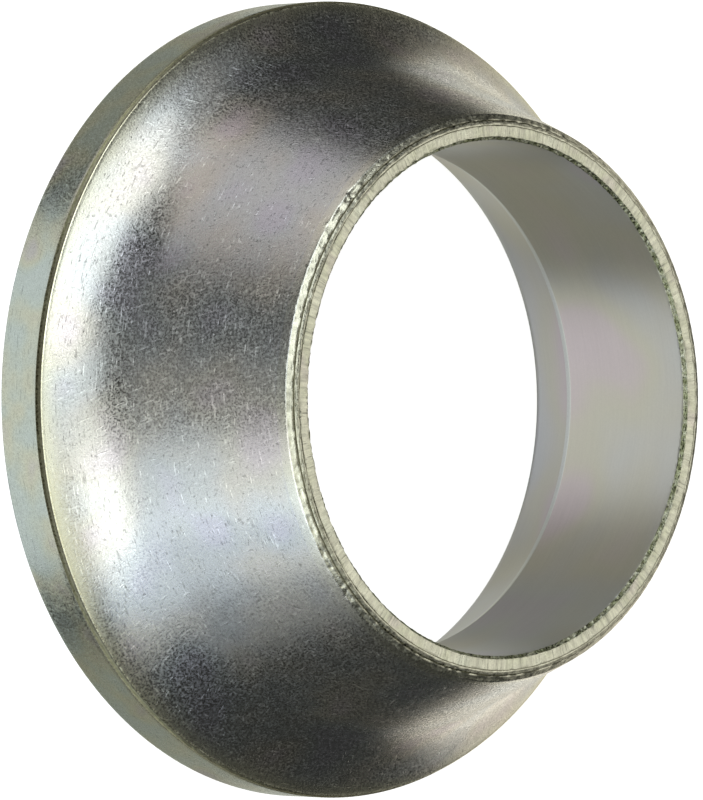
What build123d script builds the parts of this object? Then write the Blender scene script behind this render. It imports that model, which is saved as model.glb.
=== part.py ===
from build123d import *
import os
from math import acos, atan2, cos, hypot, radians, sin, tan

# Reducer ring: one solid turned and formed steel ring that steps a pipe line down from a
# large end to a small end. All sizes are in millimetres. The ring's axis is +Z, its large
# end stands on z = 0 and its small end points up. The origin is the centre of the large
# end's face, on the axis.

# Overall sizes
rim_diameter = 48.3          # outside of the cylindrical rim band at the large end
body_length = 17.5           # large end face to small end face
bore_diameter = 30.6         # straight bore that takes the smaller pipe

# Rim band and the turned groove that parts it from the flank
rim_band_height = 3.2        # straight cylindrical band, large end face to groove
rim_edge_round = 0.15        # tumbled edge at the large end face
groove_width = 0.3           # thin turned groove above the band
groove_depth = 0.1           # how far the groove cuts in below the band
shoulder_setback = 0.07      # how far the flank's outer edge lies inside the band

# Nose: the lip round the bore at the small end, from the bore outwards
bore_edge_break = 0.06       # broken edge where the bore meets the small end face
face_width = 0.9             # flat ring that closes the small end
bevel_width = 0.32           # bevel round the flat ring, measured across the face
bevel_drop = 0.17            # the same bevel, measured along the axis
nose_spread = 0.33           # how far the lip's root stands outside the bevel
nose_height = 0.48           # small end face down to the lip's root, where the flank begins

# Flank: a straight cone below the nose that flares out to the rim in one tangent arc
flank_lean = 7.64            # degrees by which the cone is steeper than a line from nose to rim
flare_radius = 9.83          # radius of the flare's arc

# Inside, from the large end up; the straight bore takes the rest of the length
mouth_depth = 2.5            # chamfered mouth at the large end, along the axis
mouth_angle = 45.0           # half angle of the mouth chamfer
inner_cone_length = 4.9      # cone between mouth and bore, along the axis
inner_cone_angle = 20.5      # half angle of that cone

# Rim and nose
rim_radius = rim_diameter / 2
shoulder_radius = rim_radius - shoulder_setback
shoulder_height = rim_band_height + groove_width
groove_radius = rim_radius - groove_depth
bore_radius = bore_diameter / 2
face_outer_radius = bore_radius + face_width
bevel_radius = face_outer_radius + bevel_width
bevel_height = body_length - bevel_drop
nose_radius = bevel_radius + nose_spread
nose_root_height = body_length - nose_height

# Flank: its chord runs from the lip's root to the shoulder, and the cone lies inside it
flank_spread = shoulder_radius - nose_radius
flank_drop = nose_root_height - shoulder_height
flank_chord = hypot(flank_spread, flank_drop)
flank_angle = atan2(flank_spread, flank_drop) - radians(flank_lean)
flare_turn = acos(1 - flank_chord * sin(radians(flank_lean)) / flare_radius)
cone_slant = flank_chord * cos(radians(flank_lean)) - flare_radius * sin(flare_turn)
flare_start_radius = nose_radius + cone_slant * sin(flank_angle)
flare_start_height = nose_root_height - cone_slant * cos(flank_angle)

# Inside
bore_end_height = mouth_depth + inner_cone_length
inner_cone_end_radius = bore_radius + inner_cone_length * tan(radians(inner_cone_angle))
mouth_radius = inner_cone_end_radius + mouth_depth * tan(radians(mouth_angle))


def outer_profile():
    """The outside half section, from the large end face up to the small end face."""
    band = Polyline(
        (mouth_radius, 0),
        (rim_radius - rim_edge_round, 0),
        (rim_radius, rim_edge_round),
        (rim_radius, rim_band_height),
        (groove_radius, rim_band_height),
        (groove_radius, shoulder_height),
        (shoulder_radius, shoulder_height),
    )
    cone = Line((nose_radius, nose_root_height), (flare_start_radius, flare_start_height))
    flare = TangentArc(cone @ 1, (shoulder_radius, shoulder_height), tangent=cone % 1)
    nose = Polyline(
        (nose_radius, nose_root_height),
        (bevel_radius, bevel_height),
        (face_outer_radius, body_length),
    )
    return band + flare + cone + nose


def inner_profile():
    """The inside half section, from the small end face down to the large end face."""
    return Polyline(
        (face_outer_radius, body_length),
        (bore_radius + bore_edge_break, body_length),
        (bore_radius, body_length - bore_edge_break),
        (bore_radius, bore_end_height),
        (inner_cone_end_radius, mouth_depth),
        (mouth_radius, 0),
    )


def reducer_ring():
    """The whole ring: the closed half section turned once round the axis."""
    section = make_face(Plane.XZ * (outer_profile() + inner_profile()))
    return revolve(section, Axis.Z, 360)


os.makedirs("parts", exist_ok=True)
ring = reducer_ring()
ring.label = "reducer_ring"
export_step(ring, "parts/reducer_ring.step")
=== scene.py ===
from math import acos, atan2, cos, hypot, pi, radians, sin, tan

import bpy
import numpy as np
from mathutils import Matrix, Vector


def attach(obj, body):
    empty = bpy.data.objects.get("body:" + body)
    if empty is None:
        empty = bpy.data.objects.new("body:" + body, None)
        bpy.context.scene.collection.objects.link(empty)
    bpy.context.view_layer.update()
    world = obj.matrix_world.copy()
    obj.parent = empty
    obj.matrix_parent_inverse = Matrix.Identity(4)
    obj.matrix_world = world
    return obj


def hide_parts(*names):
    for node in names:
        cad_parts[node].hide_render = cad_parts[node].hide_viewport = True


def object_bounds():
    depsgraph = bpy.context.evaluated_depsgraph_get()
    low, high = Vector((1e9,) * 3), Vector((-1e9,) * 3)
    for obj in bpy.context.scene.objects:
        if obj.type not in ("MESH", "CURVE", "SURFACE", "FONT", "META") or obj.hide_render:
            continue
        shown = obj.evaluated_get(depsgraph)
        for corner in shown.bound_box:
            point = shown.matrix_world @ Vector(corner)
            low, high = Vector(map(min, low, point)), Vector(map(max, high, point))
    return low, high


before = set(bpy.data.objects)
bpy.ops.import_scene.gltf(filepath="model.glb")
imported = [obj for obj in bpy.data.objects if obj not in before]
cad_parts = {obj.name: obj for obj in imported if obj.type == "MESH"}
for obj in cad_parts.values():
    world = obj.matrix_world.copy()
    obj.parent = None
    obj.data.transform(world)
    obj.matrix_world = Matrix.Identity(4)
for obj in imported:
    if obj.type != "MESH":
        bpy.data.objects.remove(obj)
cad_low, cad_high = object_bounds()

# ---------------------------------------------------------------------------------------
# The ring's body: steel, turned and cold formed in one piece, then tumbled and zinc plated.
# Its half section runs from the large end face over the rim band, groove, flare and cone,
# then down the bore and inner cone to the mouth, and is carried once round the axis.
# ---------------------------------------------------------------------------------------
MM = 0.001

rim_radius = min(cad_high[0], cad_high[1], -cad_low[0], -cad_low[1])
body_length = float(cad_high[2])
band_height = 3.2 * MM
groove_width = 0.3 * MM
groove_depth = 0.1 * MM
shoulder_setback = 0.07 * MM
rim_edge_round = 0.15 * MM
small_round = 0.03 * MM
bore_end_round = 0.06 * MM
shoulder_round = 0.13 * MM
bore_radius = 15.3 * MM
face_width = 0.9 * MM
bevel_width = 0.32 * MM
bevel_drop = 0.17 * MM
nose_spread = 0.33 * MM
nose_height = 0.48 * MM
flank_lean = radians(7.64)
flare_radius = 9.83 * MM
mouth_depth = 2.5 * MM
mouth_angle = radians(45)
inner_cone_length = 4.9 * MM
inner_cone_angle = radians(20.5)

shoulder = (rim_radius - shoulder_setback, band_height + groove_width)
groove_low = (rim_radius - groove_depth, band_height)
groove_high = (rim_radius - groove_depth, band_height + groove_width)
back_edge = (rim_radius, 0)
band_top = (rim_radius, band_height)
bevel_high = (bore_radius + face_width, body_length)
bevel_low = (bevel_high[0] + bevel_width, body_length - bevel_drop)
nose_root = (bevel_low[0] + nose_spread, body_length - nose_height)
bore_end = (bore_radius, mouth_depth + inner_cone_length)
inner_cone_end = (bore_radius + inner_cone_length * tan(inner_cone_angle), mouth_depth)
mouth_edge = (inner_cone_end[0] + mouth_depth * tan(mouth_angle), 0)

flank_spread = shoulder[0] - nose_root[0]
flank_drop = nose_root[1] - shoulder[1]
flank_chord = hypot(flank_spread, flank_drop)
flank_angle = atan2(flank_spread, flank_drop) - flank_lean
flare_turn = acos(1 - flank_chord * sin(flank_lean) / flare_radius)
cone_slant = flank_chord * cos(flank_lean) - flare_radius * sin(flare_turn)

lip_skirt = 0.6 * MM
lip_depth = 0.9 * MM


def on_cone(slant):
    """The place on the cone that lies slant below the lip's root, measured down the cone."""
    return (nose_root[0] + slant * sin(flank_angle), nose_root[1] - slant * cos(flank_angle))


lip_seam_outer = on_cone(lip_skirt)
lip_seam_inner = (bore_radius, body_length - lip_depth)


def straight(start, end, steps):
    """Points on a straight line from start up to, but not including, end."""
    share = np.arange(steps)[:, None] / steps
    return np.asarray(start) + (np.asarray(end) - np.asarray(start)) * share


def corner(before, point, after, reach, steps):
    """A small rounded corner: a quadratic curve between two points that lie reach from the
    corner, one on each side of it, with the corner itself as the control point."""
    before, point, after = (np.asarray(place, float) for place in (before, point, after))
    start = point + (before - point) / np.linalg.norm(before - point) * reach
    end = point + (after - point) / np.linalg.norm(after - point) * reach
    share = np.linspace(0, 1, steps)[:, None]
    return (1 - share) ** 2 * start + 2 * share * (1 - share) * point + share**2 * end


def flare_arc(steps):
    """The flare, from the shoulder up to the cone: an arc of flare_radius whose heading swings
    from the cone's angle outwards by flare_turn."""
    heading = flank_angle + np.linspace(flare_turn, 0, steps)
    start = on_cone(cone_slant)
    out = start[0] + flare_radius * (cos(flank_angle) - np.cos(heading))
    up = start[1] - flare_radius * (np.sin(heading) - sin(flank_angle))
    return np.stack([out, up], axis=1)


def smooth_noise(seed, around_cells, along_cells, turn, share):
    """Smooth random heights from -1 to 1: random values on a grid that closes round the ring,
    blended by a smoothstep between neighbours. turn and share both run from 0 to 1."""
    values = np.random.default_rng(seed).uniform(-1, 1, (around_cells, along_cells + 2))
    across, up = turn * around_cells, share * along_cells
    left, low = np.floor(across).astype(int), np.floor(up).astype(int)
    mix_across, mix_up = across - left, up - low
    mix_across = mix_across**2 * (3 - 2 * mix_across)
    mix_up = mix_up**2 * (3 - 2 * mix_up)
    left, right = left % around_cells, (left + 1) % around_cells
    lower = values[left, low] * (1 - mix_across) + values[right, low] * mix_across
    upper = values[left, low + 1] * (1 - mix_across) + values[right, low + 1] * mix_across
    return lower * (1 - mix_up) + upper * mix_up


def bell(distance, width):
    """A bell curve: 1 at no distance, falling to about a third at width."""
    return np.exp(-((distance / width) ** 2))


def carry_round(name, section, relief, finishes, finish_of_row, edge_film_and_shade_lift):
    """A closed half section of (radius, height) points carried once round the axis. relief,
    a row for each point and a column for each step round, moves the skin along the section's
    outward normal, which is the direction of travel turned a quarter to the right. The last
    argument, of the same shape as relief, says where the plating is thick and even, 0 to 1,
    and in the groove where its painted shade is lifted."""
    rows, around = relief.shape
    travel = np.roll(section, -1, axis=0) - np.roll(section, 1, axis=0)
    travel /= np.linalg.norm(travel, axis=1)[:, None]
    radius = section[:, :1] + travel[:, 1:] * relief
    height = section[:, 1:] - travel[:, :1] * relief
    turn = np.arange(around) * 2 * pi / around
    places = np.stack([radius * np.cos(turn), radius * np.sin(turn), height], axis=-1)
    row, column = np.arange(rows)[:, None], np.arange(around)[None, :]
    next_row, next_column = (row + 1) % rows, (column + 1) % around
    faces = np.stack(
        [
            row * around + column,
            row * around + next_column,
            next_row * around + next_column,
            next_row * around + column,
        ],
        axis=-1,
    ).reshape(-1, 4)
    skin = bpy.data.meshes.new(name)
    skin.from_pydata(places.reshape(-1, 3).tolist(), [], faces.tolist())
    for finish in finishes:
        skin.materials.append(finish)
    skin.polygons.foreach_set("material_index", np.repeat(finish_of_row, around).astype(np.int32))
    skin.polygons.foreach_set("use_smooth", np.ones(len(faces), bool))
    edge = skin.attributes.new("edge_film_and_shade_lift", "FLOAT", "POINT")
    edge.data.foreach_set("value", np.broadcast_to(edge_film_and_shade_lift, relief.shape).ravel())
    skin.set_sharp_from_angle(angle=crease_angle)
    skin.update()
    piece = bpy.data.objects.new(name, skin)
    bpy.context.scene.collection.objects.link(piece)
    return piece


def node(tree, kind, inputs=(), **settings):
    """Adds a shader node. settings are its properties, and inputs gives each named socket
    either a value or the socket that feeds it."""
    made = tree.nodes.new("ShaderNode" + kind)
    for name, value in settings.items():
        setattr(made, name, value)
    for socket, value in dict(inputs).items():
        if isinstance(value, bpy.types.NodeSocket):
            tree.links.new(value, made.inputs[socket])
        else:
            made.inputs[socket].default_value = value
    return made


def ring_coordinates(tree, around_scale, along_scale, twist=0):
    """Coordinates that follow the ring without a seam: the direction from the axis, times
    around_scale, and the height less the radius, times along_scale. A twist in radians per
    metre turns the direction as the second grows, which slants a drawn-out pattern."""
    place = node(tree, "TexCoord").outputs["Object"]
    flat = node(tree, "VectorMath", {0: place, 1: (1, 1, 0)}, operation="MULTIPLY").outputs[0]
    radius = node(tree, "VectorMath", {0: flat}, operation="LENGTH").outputs["Value"]
    direction = node(tree, "VectorMath", {0: flat}, operation="NORMALIZE").outputs[0]
    height = node(tree, "SeparateXYZ", {0: place}).outputs["Z"]
    along = node(tree, "Math", {0: height, 1: radius}, operation="SUBTRACT").outputs[0]
    slant = node(tree, "Math", {0: along, 1: twist}, operation="MULTIPLY").outputs[0]
    turned = node(
        tree, "VectorRotate", {"Vector": direction, "Angle": slant}, rotation_type="Z_AXIS"
    ).outputs[0]
    spread = node(tree, "VectorMath", {0: turned, "Scale": around_scale}, operation="SCALE")
    lifted = node(tree, "Math", {0: along, 1: along_scale}, operation="MULTIPLY").outputs[0]
    lift = node(tree, "CombineXYZ", {"Z": lifted}).outputs[0]
    return node(tree, "VectorMath", {0: spread.outputs[0], 1: lift}, operation="ADD").outputs[0]


def noise(tree, coordinates, scale=1.0, detail=2.0, roughness=0.5):
    """The height of a smooth noise, about 0.5 on average, at the given coordinates."""
    inputs = {"Vector": coordinates, "Scale": scale, "Detail": detail, "Roughness": roughness}
    return node(tree, "TexNoise", inputs).outputs[0]


def remap(tree, value, low, high, to_low, to_high):
    """Carries low..high over to to_low..to_high in a straight line, and stops at both ends."""
    inputs = {"Value": value, "From Min": low, "From Max": high, "To Min": to_low, "To Max": to_high}
    return node(tree, "MapRange", inputs).outputs[0]


def blend(tree, share, start, end):
    """Goes from start to end in a straight line as share goes from 0 to 1."""
    return node(tree, "Mix", {0: share, 2: start, 3: end}, data_type="FLOAT").outputs[0]


def plated(name, colours, patch_size, roughness, mottling, grain_depth, marks=(), lines=None):
    """A zinc plated finish. Its thin clear film drifts softly from colour to colour, over
    patches of patch_size, and its roughness drifts between two values. Fine grain shades the
    metal and its roughness by mottling, and pits it by grain_depth. marks are layers of short
    scratches, each the highest part of a noise drawn out to (length round the ring, width
    along it, twist, gleam): a gleam above 1 is bright and raised, and one below it is dark
    and cut in. lines are tool marks, as (scale round the ring, spacing along it, depth,
    shading). Where edge_film_and_shade_lift is 1, the film is thick: it has edge_colour and is all but even."""
    finish = bpy.data.materials.new(name)
    finish.use_nodes = True
    tree = finish.node_tree
    shader = tree.nodes["Principled BSDF"]
    shader.inputs["Metallic"].default_value = 1.0
    place = node(tree, "TexCoord").outputs["Object"]
    drift = noise(tree, place, scale=1 / patch_size, detail=1.5)
    film = node(tree, "ValToRGB", {"Fac": drift})
    film.color_ramp.interpolation = "B_SPLINE"
    for step, colour in enumerate(colours):
        share = film_low + (film_high - film_low) * step / (len(colours) - 1)
        stop = film.color_ramp.elements[step] if step < 2 else film.color_ramp.elements.new(share)
        stop.position = share
        stop.color = (*colour, 1)
    edge = node(tree, "Attribute", attribute_name="edge_film_and_shade_lift").outputs["Fac"]
    grain = noise(tree, place, scale=1 / grain_size, detail=2.0, roughness=0.7)
    shade = remap(tree, grain, grain_low, grain_high, 1 - mottling, 1 + mottling)
    wander = noise(tree, place, scale=1 / patch_size, detail=5.0, roughness=0.6)
    smooth = remap(tree, wander, wander_low, wander_high, *roughness)
    grit_change = mottling * grit_share
    grit = remap(tree, grain, grain_low, grain_high, -grit_change, grit_change)
    gritty = node(tree, "Math", {0: smooth, 1: grit}, operation="ADD").outputs[0]
    layers = [(grain, grain_depth)]
    for length, width, twist, gleam in marks:
        drawn = ring_coordinates(tree, mean_radius / length, flank_stretch / width, twist)
        mark = remap(tree, noise(tree, drawn, detail=1.0), mark_start, mark_full, 0, 1)
        layers.append((mark, mark_depth if gleam > 1 else -mark_depth))
        gleaming = remap(tree, mark, 0, 1, 1, gleam)
        shade = node(tree, "Math", {0: shade, 1: gleaming}, operation="MULTIPLY").outputs[0]
    if lines is not None:
        around_scale, spacing, depth, shading = lines
        drawn = ring_coordinates(tree, around_scale, flank_stretch / spacing)
        line = noise(tree, drawn, detail=4.0, roughness=0.7)
        layers.append((line, depth))
        streak = remap(tree, line, grain_low, grain_high, 1 - shading, 1 + shading)
        shade = node(tree, "Math", {0: shade, 1: streak}, operation="MULTIPLY").outputs[0]
    film_colours = {0: edge, 6: film.outputs["Color"], 7: (*edge_colour, 1)}
    coloured = node(tree, "Mix", film_colours, data_type="RGBA").outputs[2]
    shading_inputs = {0: coloured, "Scale": blend(tree, edge, shade, 1.0)}
    shaded = node(tree, "VectorMath", shading_inputs, operation="SCALE").outputs[0]
    tree.links.new(shaded, shader.inputs["Base Color"])
    tree.links.new(blend(tree, edge, gritty, smooth), shader.inputs["Roughness"])
    unevenness = blend(tree, edge, 1.0, edge_unevenness)
    bump = {}
    for height, depth in layers:
        bump.update({"Height": height, "Distance": depth, "Strength": unevenness})
        bump["Normal"] = node(tree, "Bump", bump).outputs[0]
    tree.links.new(bump["Normal"], shader.inputs["Normal"])
    return finish


# Sizes and ranges that all the finishes share. Each noise mostly stays between the low and
# high value given here. flank_stretch makes up for the height less the radius, which grows
# by about a third more than a step up the flank.
crease_angle = radians(50)
mean_radius = 19 * MM
flank_stretch = 0.75
grain_size = 0.13 * MM
film_low, film_high = 0.32, 0.68
grain_low, grain_high = 0.35, 0.65
wander_low, wander_high = 0.3, 0.7
grit_share = 0.9
mark_start, mark_full = 0.66, 0.74
mark_depth = 0.005 * MM
edge_colour = (0.82, 0.82, 0.63)
edge_unevenness = 0.2

# One finish for each way in which the steel was worked before plating: a tumbled flank, a
# turned band and back and a satin bore. The crest and bore end are painted highlights, the
# crest partly the thick film's own cream, and the groove's dark colour is painted shade.
tumbled = plated(
    "tumbled_zinc",
    [(0.58, 0.58, 0.64), (0.57, 0.61, 0.6), (0.6, 0.6, 0.59), (0.63, 0.62, 0.54), (0.64, 0.59, 0.61)],
    patch_size=5.5 * MM,
    roughness=(0.25, 0.31),
    mottling=0.16,
    grain_depth=0.01 * MM,
    marks=[
        (0.8 * MM, 0.12 * MM, -12, 1.4),
        (0.6 * MM, 0.1 * MM, 26, 0.7),
        (0.13 * MM, 0.8 * MM, 14, 1.3),
        (0.22 * MM, 0.2 * MM, 0, 0.7),
    ],
)
turned = plated(
    "turned_zinc",
    [(0.6, 0.68, 0.66), (0.6, 0.68, 0.63), (0.64, 0.69, 0.6), (0.68, 0.69, 0.54), (0.62, 0.61, 0.61)],
    patch_size=3 * MM,
    roughness=(0.22, 0.3),
    mottling=0.13,
    grain_depth=0.01 * MM,
    marks=[(0.8 * MM, 0.09 * MM, 30, 0.75), (0.1 * MM, 0.8 * MM, -20, 1.15)],
    lines=(4.0, 0.07 * MM, 0.004 * MM, 0.04),
)
satin = plated(
    "satin_zinc",
    [(0.63, 0.61, 0.68), (0.62, 0.65, 0.64), (0.64, 0.63, 0.6), (0.65, 0.65, 0.53), (0.68, 0.61, 0.64)],
    patch_size=9 * MM,
    roughness=(0.36, 0.42),
    mottling=0.02,
    grain_depth=0.002 * MM,
    lines=(3.0, 0.1 * MM, 0.002 * MM, 0.02),
)
# The rounded bore end: a lighter grey than the bore, a painted highlight line.
shine = plated(
    "bore_end_highlight_zinc",
    [(0.74, 0.77, 0.72), (0.7, 0.72, 0.7)],
    patch_size=3 * MM,
    roughness=(0.34, 0.4),
    mottling=0.05,
    grain_depth=0.002 * MM,
)
# The shoulder's crest: the cream of the thick film, made brighter than zinc reflects as a painted
# highlight.
crest = plated(
    "crest_film_and_highlight_zinc",
    [(0.95, 0.94, 0.74), (0.9, 0.88, 0.66)],
    patch_size=2 * MM,
    roughness=(0.24, 0.34),
    mottling=0.2,
    grain_depth=0.004 * MM,
)
# The groove's finish: its dark colour is painted shade, in the groove and in the lip's two hairline
# grooves.
groove_painted_shade = plated(
    "groove_painted_shade_zinc",
    [(0.2, 0.2, 0.13), (0.15, 0.14, 0.09)],
    patch_size=2 * MM,
    roughness=(0.45, 0.6),
    mottling=0.5,
    grain_depth=0.03 * MM,
)

# Each zone is a stretch of the half section. flare_lead, a little way along the flare, is what
# the shoulder's rounded corner heads for.
around = 640
edge_rows, groove_rows, band_rows, flare_rows, cone_rows = 4, 3, 9, 42, 46
bore_rows, inner_cone_rows, mouth_rows, back_rows, joint_rows = 15, 10, 5, 4, 2
rim_edge_start = (rim_radius - rim_edge_round, 0)
band_low = (rim_radius, 2 * rim_edge_round)
band_high = (rim_radius, band_height - 2 * small_round)
bore_low = (bore_radius, bore_end[1] + bore_end_round)
flare_lead = flare_arc(9)[1]
zones = [
    ("back", straight(mouth_edge, rim_edge_start, back_rows)),
    ("band", corner(mouth_edge, back_edge, band_top, rim_edge_round, edge_rows)),
    ("band", straight(band_low, band_high, band_rows)),
    ("groove", corner(back_edge, band_top, groove_low, small_round, groove_rows)),
    ("groove", straight(groove_low, groove_high, groove_rows)),
    ("crest", corner(groove_high, shoulder, flare_lead, shoulder_round, edge_rows)[1:]),
    ("flank", flare_arc(flare_rows)[1:-1]),
    ("flank", straight(on_cone(cone_slant), lip_seam_outer, cone_rows)),
    ("joint", straight(lip_seam_outer, lip_seam_inner, joint_rows)),
    ("bore", straight(lip_seam_inner, bore_low, bore_rows)),
    ("shine", corner(lip_seam_inner, bore_end, inner_cone_end, bore_end_round, edge_rows)),
    ("bore", straight(bore_end, inner_cone_end, inner_cone_rows)[1:]),
    ("back", straight(inner_cone_end, mouth_edge, mouth_rows)),
]
section = np.concatenate([points for _, points in zones])
zone_of_row = np.concatenate([[name] * len(points) for name, points in zones])
on_flank = zone_of_row == "flank"

turn = np.arange(around) / around
flank_share = np.zeros(len(section))
flank_share[on_flank] = np.linspace(0, 1, on_flank.sum())
flank_grid = flank_share[:, None] + 0 * turn

# The flank's slow sway and finer swell, from forming. Both fade out towards its two edges.
fade_share = 0.1
sway_height = 0.002 * MM
swell_height = 0.0006 * MM
to_edge = np.minimum(flank_share, 1 - flank_share)[:, None]
calm = np.clip(to_edge / fade_share, 0, 1) * on_flank[:, None]
sway = smooth_noise(11, 26, 4, turn[None, :], flank_grid)
swell = smooth_noise(12, 70, 9, turn[None, :], flank_grid)

# Shallow dents from tumbling and handling, spread at random over the flank.
dents = 90
dent_random = np.random.default_rng(13)
dent_turn = dent_random.uniform(0, 1, dents)
dent_share = dent_random.uniform(0.08, 0.92, dents)
dent_width = dent_random.uniform(0.25, 0.6, dents) * MM
dent_depth = dent_random.uniform(0.004, 0.012, dents) * MM
dent_across = (turn[:, None] - dent_turn + 0.5) % 1 - 0.5
dent_across = bell(dent_across * 2 * pi * mean_radius, dent_width)
dent_along = bell((flank_share[:, None] - dent_share) * flank_chord, dent_width)
dented = (dent_along * dent_depth) @ dent_across.T
relief = calm * (sway_height * (sway - 1) + swell_height * (swell - 1) - dented)

finish_names = ["flank", "band", "bore", "groove", "back", "joint", "shine", "crest"]
finish_of_row = np.array([finish_names.index(name) for name in zone_of_row])
body_finishes = [tumbled, turned, satin, groove_painted_shade, turned, turned, shine, crest]

# The film is thick and cream coloured along the flank's two edges. The groove's dark colour
# is painted shade, lifted in two stretches, each given by its azimuth and width in degrees.
shoulder_film, shoulder_film_width = 0.9, 0.8 * MM
root_film, root_film_width = 0.55, 0.7 * MM
unshaded_places, unshaded_widths, unshaded_share = (227, 316), (20, 22), 0.7


def film_drift(turn):
    """The edge film's strength, which drifts from 0.6 to 1 round the ring."""
    return 0.8 + 0.2 * smooth_noise(10, 14, 1, turn[None, :], np.zeros((1, 1)))


to_shoulder = np.linalg.norm(section - shoulder, axis=1)
to_root = np.linalg.norm(section - nose_root, axis=1)
edge_of_row = shoulder_film * bell(to_shoulder, shoulder_film_width)
edge_of_row = on_flank * (edge_of_row + root_film * bell(to_root, root_film_width))
unshaded = sum(
    bell(turn - place / 360, width / 360) for place, width in zip(unshaded_places, unshaded_widths)
)
# Where the groove's painted shade is lifted, it takes the cream edge colour.
unshaded_groove = unshaded_share * unshaded * (zone_of_row == "groove")[:, None]
edge_film_and_shade_lift = edge_of_row[:, None] * film_drift(turn) + unshaded_groove
body = carry_round("ring_body", section, relief, body_finishes, finish_of_row, edge_film_and_shade_lift)
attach(body, "root")
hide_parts("reducer_ring")

# ---------------------------------------------------------------------------------------
# The ring's lip: the small end of the same piece of steel, cut off, bevelled and struck in
# handling. Two hairline grooves edge the bevel, the cut face has torn strokes from bore to
# bevel, and the bore's edge is ragged. It is apart from the body only to be drawn finer.
# ---------------------------------------------------------------------------------------
torn_width = 0.2 * MM
lip_rows = 58
lip_around = 1560

lip_corners = [
    lip_seam_outer,
    nose_root,
    bevel_low,
    bevel_high,
    (bore_radius + torn_width, body_length),
    (bore_radius, body_length - torn_width),
    lip_seam_inner,
]
corner_places = np.array(lip_corners)
corner_steps = np.linalg.norm(np.diff(corner_places, axis=0), axis=1)
corner_reach = np.concatenate([[0], np.cumsum(corner_steps)])
reach = np.linspace(0, corner_reach[-1], lip_rows)
lip_section = np.stack(
    [np.interp(reach, corner_reach, corner_places[:, axis]) for axis in (0, 1)], axis=1
)
lip_section[1:-1] = (lip_section[:-2] + 2 * lip_section[1:-1] + lip_section[2:]) / 4
at_root, at_low, at_high, at_torn, at_bore = corner_reach[1:6]

lip_turn = np.arange(lip_around) / lip_around
share = (reach / reach[-1])[:, None] + 0 * lip_turn
depth_on = reach[:, None]
lip_arc = 2 * pi * bevel_high[0]


def ring_cut(middle, width, depth, change, seed, around_cells, along_cells):
    """A cut round the lip, in millimetres deep: a bell across it, times a depth that varies
    by change with smooth noise."""
    wear = smooth_noise(seed, around_cells, along_cells, lip_turn, share)
    return bell(depth_on - middle, width) * (depth + change * wear)


# The two hairline grooves, then the wear between them and below them. The depths of all the
# lip's cuts are in millimetres, until lip_relief.
wavy = 0.03 * MM * smooth_noise(20, 210, 2, lip_turn, share)
groove_cut = ring_cut(at_low + wavy, 0.06 * MM, 0.05, 0.035, 21, 300, 3)
groove_cut += ring_cut(at_high - wavy, 0.055 * MM, 0.05, 0.035, 21, 300, 3)
bevel_cut = ring_cut((at_low + at_high) / 2, 0.14 * MM, 0.02, -0.02, 22, 460, 9)
nose_cut = ring_cut((at_root + at_low) / 2, 0.2 * MM, 0.026, -0.026, 23, 380, 12)

# Strokes that the cutting tool tore across the face, from the bore towards the bevel.
stroke_fade = 0.1 * MM
stroke_depth = 0.014
face_window = np.clip((depth_on - at_high) / stroke_fade, 0, 1)
face_window = face_window * np.clip((at_torn - depth_on) / stroke_fade, 0, 1)
stroke_noise = smooth_noise(24, 620, 5, lip_turn, share) + smooth_noise(25, 240, 8, lip_turn, share)
face_cut = face_window * stroke_depth * (2 - stroke_noise)

# The ragged edge of the bore, torn deeper in some stretches than in others.
torn_cut = ring_cut((at_torn + at_bore) / 2, 0.19 * MM, 0.11, -0.11, 26, 560, 24)
torn_cut *= 0.6 + 0.4 * smooth_noise(27, 18, 2, lip_turn, share)

# Nicks in the nose: small ones at random, and six larger ones at struck_places, azimuths in
# degrees. Each is a bell across times a bell along, leaning by nick_slant.
nicks = 90
struck_places = np.array([219, 220.6, 223.8, 225.2, 229.1, 233.5])
struck = len(struck_places)
nick_random = np.random.default_rng(31)
nick_turn = nick_random.uniform(0, 1, nicks)
nick_width = nick_random.uniform(0.05, 0.13, nicks) * MM
nick_depth = nick_random.uniform(0.008, 0.03, nicks)
nick_reach = nick_random.uniform(0.08, 0.22, nicks) * MM
nick_slant = nick_random.uniform(-0.8, 0.8, nicks)
nick_middle = at_root + nick_random.uniform(0.1, 0.9, nicks) * (at_low - at_root)

nick_turn[:struck] = np.radians(struck_places) / (2 * pi)
nick_width[:struck] = nick_random.uniform(0.12, 0.3, struck) * MM
nick_depth[:struck] = nick_random.uniform(0.03, 0.09, struck)
nick_reach[:struck] = nick_random.uniform(0.14, 0.3, struck) * MM

nick_across = ((lip_turn[:, None] - nick_turn + 0.5) % 1 - 0.5) * lip_arc
nick_along = reach[:, None] - nick_middle
nick_skew = nick_across[None, :, :] + nick_slant * nick_along[:, None, :]
nick_shape = bell(nick_skew, nick_width) * bell(nick_along, nick_reach)[:, None, :]
nick_cut = nick_shape @ nick_depth

seam_fade = 0.3 * MM
seam_calm = np.clip(depth_on / seam_fade, 0, 1) * np.clip((reach[-1] - depth_on) / seam_fade, 0, 1)
lip_relief = -MM * seam_calm * (groove_cut + bevel_cut + nose_cut + face_cut + torn_cut + nick_cut)

inside = straight(lip_seam_inner, lip_seam_outer, 3)[1:]
lip_section = np.concatenate([lip_section, inside])
lip_relief = np.concatenate([lip_relief, np.zeros((len(inside), lip_around))])

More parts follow.
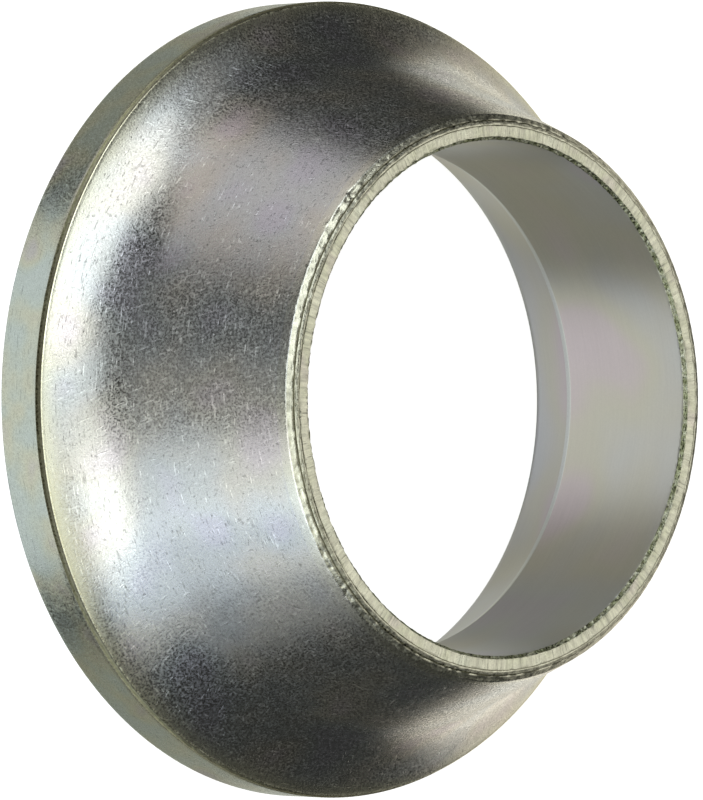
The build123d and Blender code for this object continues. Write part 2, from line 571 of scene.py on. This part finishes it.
nose_finish = plated(
    "nose_zinc",
    [(0.46, 0.46, 0.37), (0.64, 0.64, 0.52), (0.8, 0.8, 0.66)],
    patch_size=0.5 * MM,
    roughness=(0.3, 0.4),
    mottling=0.12,
    grain_depth=0.02 * MM,
)
face_finish = plated(
    "cut_zinc",
    [(0.69, 0.71, 0.59), (0.7, 0.7, 0.57), (0.73, 0.73, 0.61), (0.7, 0.72, 0.55), (0.72, 0.69, 0.61)],
    patch_size=2.5 * MM,
    roughness=(0.34, 0.46),
    mottling=0.12,
    grain_depth=0.01 * MM,
    marks=[(0.1 * MM, 1.1 * MM, 0, 0.6), (0.16 * MM, 0.9 * MM, 30, 1.15)],
    lines=(72.0, 1.1 * MM, 0.04 * MM, 0.2),
)
torn_finish = plated(
    "torn_zinc",
    [(0.2, 0.22, 0.12), (0.34, 0.36, 0.24), (0.55, 0.56, 0.46)],
    patch_size=0.35 * MM,
    roughness=(0.3, 0.5),
    mottling=0.4,
    grain_depth=0.03 * MM,
)

row_reach = np.append(reach, np.full(len(inside), -1))
# The lip's two hairline grooves take the groove's dark finish, which is painted shade.
hairline = 0.045 * MM
cone_skin, hairline_skin, nose_skin, face_skin, bore_skin, torn_skin = range(6)
in_hairline = (abs(row_reach - at_low) < hairline) | (abs(row_reach - at_high) < hairline)
lip_finish_of_row = np.select(
    [row_reach < 0, row_reach < at_root, in_hairline, row_reach < at_high, row_reach < at_torn],
    [bore_skin, cone_skin, hairline_skin, nose_skin, face_skin],
    np.where(row_reach < at_bore, torn_skin, bore_skin),
)
lip_finishes = [tumbled, groove_painted_shade, nose_finish, face_finish, satin, torn_finish]
lip_edge = np.where((row_reach >= 0) & (row_reach < at_root), root_film, 0)
lip_edge = lip_edge * bell(row_reach - at_root, root_film_width)
lip_film = lip_edge[:, None] * film_drift(lip_turn)
lip = carry_round("ring_lip", lip_section, lip_relief, lip_finishes, lip_finish_of_row, lip_film)
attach(lip, "root")
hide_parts("reducer_ring")

# ---------------------------------------------------------------------------------------
# The floor: a plain pale sheet that the ring's large end stands on.
# ---------------------------------------------------------------------------------------
floor_half = 1.0

floor_mesh = bpy.data.meshes.new("floor")
floor_corners = [(-1, -1, 0), (1, -1, 0), (1, 1, 0), (-1, 1, 0)]
floor_mesh.from_pydata([Vector(place) * floor_half for place in floor_corners], [], [(0, 1, 2, 3)])
floor = bpy.data.objects.new("floor", floor_mesh)
bpy.context.scene.collection.objects.link(floor)
floor.visible_glossy = False
floor.visible_shadow = False
pale = bpy.data.materials.new("pale_floor")
pale.use_nodes = True
pale_shader = pale.node_tree.nodes["Principled BSDF"]
pale_shader.inputs["Base Color"].default_value = (0.9, 0.9, 0.9, 1)
pale_shader.inputs["Roughness"].default_value = 0.9
pale_shader.inputs["Emission Color"].default_value = (1, 1, 1, 1)
pale_shader.inputs["Emission Strength"].default_value = 0.75
floor_mesh.materials.append(pale)

# ---------------------------------------------------------------------------------------
# The camera: a long lens that looks down on the small end from one side, with the ring's
# axis leaning to the right. Its up is all but square to the axis.
# ---------------------------------------------------------------------------------------
camera_tilt = radians(42.3)
camera_distance = 474.7 * MM
axis_rise = 0.00646
camera_aside = 8.949 * MM
camera_below = 0.125 * MM

camera_up = Vector((-cos(axis_rise), 0, sin(axis_rise)))
camera_right = Vector((0, cos(camera_tilt), sin(camera_tilt)))
camera_right = (camera_right - camera_right.dot(camera_up) * camera_up).normalized()
camera_back = camera_right.cross(camera_up)


def facing(place, right, up, back):
    """The matrix that puts something at a place, with its own axes along right, up and back."""
    return Matrix.Translation(place) @ Matrix((right, up, back)).transposed().to_4x4()


camera_data = bpy.data.cameras.new("camera")
camera_data.lens = 360
camera_data.sensor_width = 36
camera_data.clip_start = 0.01
camera = bpy.data.objects.new("camera", camera_data)
face_centre = Vector((0, 0, body_length))
camera_place = face_centre - camera_aside * camera_right - camera_below * camera_up
camera_place += camera_distance * camera_back
camera.matrix_world = facing(camera_place, camera_right, camera_up, camera_back)
bpy.context.scene.collection.objects.link(camera)
bpy.context.scene.camera = camera

# ---------------------------------------------------------------------------------------
# The light: soft panels all round the ring, as in a light tent, with dark gaps between them.
# The brightest stand in front. The world adds a faint warm glow from every side.
# ---------------------------------------------------------------------------------------
panel_distance = 0.6
ring_centre = Vector((0, 0, body_length / 2))


def softbox(name, side, height, wide, tall, brightness, tint=(1, 1, 1)):
    """A soft panel that faces the ring. side and height are its angles, in degrees, to the
    right of the camera and above it; wide and tall are the angles that it covers. A panel
    of brightness 1 takes pi times its area in watts."""
    aside, lift = radians(side), radians(height)
    towards = (
        sin(aside) * cos(lift) * camera_right
        + sin(lift) * camera_up
        + cos(aside) * cos(lift) * camera_back
    )
    across = camera_up.cross(towards).normalized()
    light = bpy.data.lights.new(name, "AREA")
    light.shape = "RECTANGLE"
    light.size = 2 * panel_distance * tan(radians(wide / 2))
    light.size_y = 2 * panel_distance * tan(radians(tall / 2))
    light.energy = brightness * pi * light.size * light.size_y
    light.color = tint
    panel = bpy.data.objects.new(name, light)
    panel.matrix_world = facing(
        ring_centre + panel_distance * towards, across, towards.cross(across), towards
    )
    panel.visible_camera = False
    bpy.context.scene.collection.objects.link(panel)


softbox("front_upper", 5, 39, 30, 56, 2.05, (0.96, 0.99, 1))
softbox("front_middle", 1, 3, 50, 28, 1.05, (0.97, 1, 0.99))
softbox("front_lower", -15, -25, 27, 28, 2.1, (0.96, 1, 1))
softbox("front_low_right", 20, -21, 30, 26, 0.95, (1, 1, 0.86))
softbox("left_front", -56, 2, 28, 22, 0.22)
softbox("left_front_upper", -42, 26, 30, 28, 0.1)
softbox("front_low_left", -48, -24, 50, 26, 1.0, (0.94, 0.98, 1))
softbox("low_left", -31, -48, 62, 27, 1.0, (0.87, 0.93, 1))
softbox("under_left", -76, -62, 34, 24, 0.3, (0.9, 0.94, 1))
softbox("left", -96, 0, 50, 66, 0.72, (0.99, 1, 0.98))
softbox("left_back", -132, 0, 26, 52, 0.55, (0.94, 0.95, 1))
softbox("left_back_upper", -148, 38, 40, 28, 0.23, (1, 0.98, 0.82))
softbox("left_back_lower", -148, -38, 40, 28, 0.27, (1, 0.98, 0.82))
softbox("top_left", -83, 60, 33, 45, 0.67, (1, 0.93, 0.93))
softbox("top", 8, 72, 44, 30, 0.19)
softbox("right", 84, 0, 30, 28, 0.62, (1, 1, 0.96))
softbox("right_wide", 86, 0, 60, 74, 0.58, (1, 0.96, 0.88))
softbox("back_low", 152, -22, 40, 22, 0.9, (1, 0.93, 0.82))
softbox("back_high", 150, 21, 44, 20, 0.7, (1, 0.94, 0.8))
softbox("back", 182, 0, 46, 50, 0.57, (1, 0.99, 0.87))

world = bpy.data.worlds.new("world")
bpy.context.scene.world = world
world.use_nodes = True
glow = world.node_tree.nodes["Background"]
glow.inputs["Color"].default_value = (1, 1, 0.9, 1)
glow.inputs["Strength"].default_value = 0.04
bpy.context.scene.view_settings.view_transform = "Standard"
